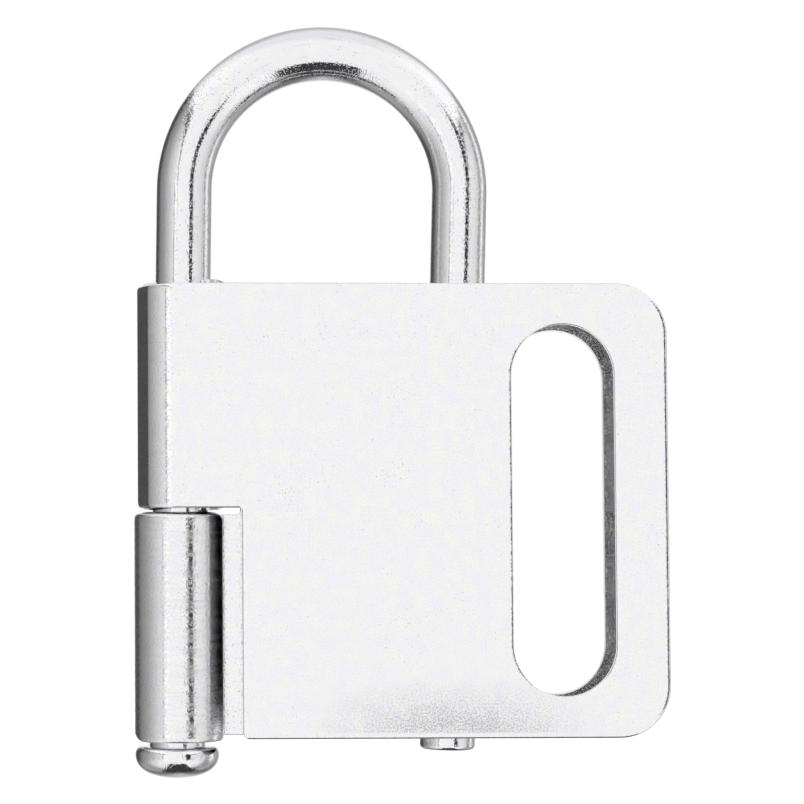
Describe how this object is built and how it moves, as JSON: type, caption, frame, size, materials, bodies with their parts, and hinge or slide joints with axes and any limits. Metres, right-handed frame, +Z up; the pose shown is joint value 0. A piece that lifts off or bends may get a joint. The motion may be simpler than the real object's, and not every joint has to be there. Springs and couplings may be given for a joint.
{
  "type": "lockout hasp",
  "caption": "Zinc-plated steel lockout hasp: a bent rod shackle whose long leg is the hinge pin of two slotted sheet wings that close round its short leg.",
  "frame": {"origin": "inside crown of the shackle's bow, in the middle of the rod's depth, where the hasp hangs", "axes": "+Z up along the shackle, -Y out of the front wing's outer face, +X from the hinge towards the wings' free edge"},
  "size_m": [0.0915, 0.0152, 0.1295],
  "materials": {
    "shackle_zinc": "bright zinc plate on drawn rod, mirror-like with fine draw lines",
    "wing_zinc": "bright zinc plate on sheet steel, soft satin with fine pits"
  },
  "bodies": {
    "shackle": {"shackle": "shackle_zinc"},
    "front_wing": {"front_wing": "wing_zinc"},
    "back_wing": {"back_wing": "wing_zinc"}
  },
  "joints": [
    {"name": "front_wing_swing", "type": "hinge", "parent": "shackle", "child": "front_wing", "pos_m": [-0.02433, 0, -0.05485], "axis": [0.007, 0, -1], "range_deg": [0, 140]},
    {"name": "back_wing_swing", "type": "hinge", "parent": "shackle", "child": "back_wing", "pos_m": [-0.0247, 0, -0.09415], "axis": [-0.007, 0, 1], "range_deg": [0, 140]}
  ]
}
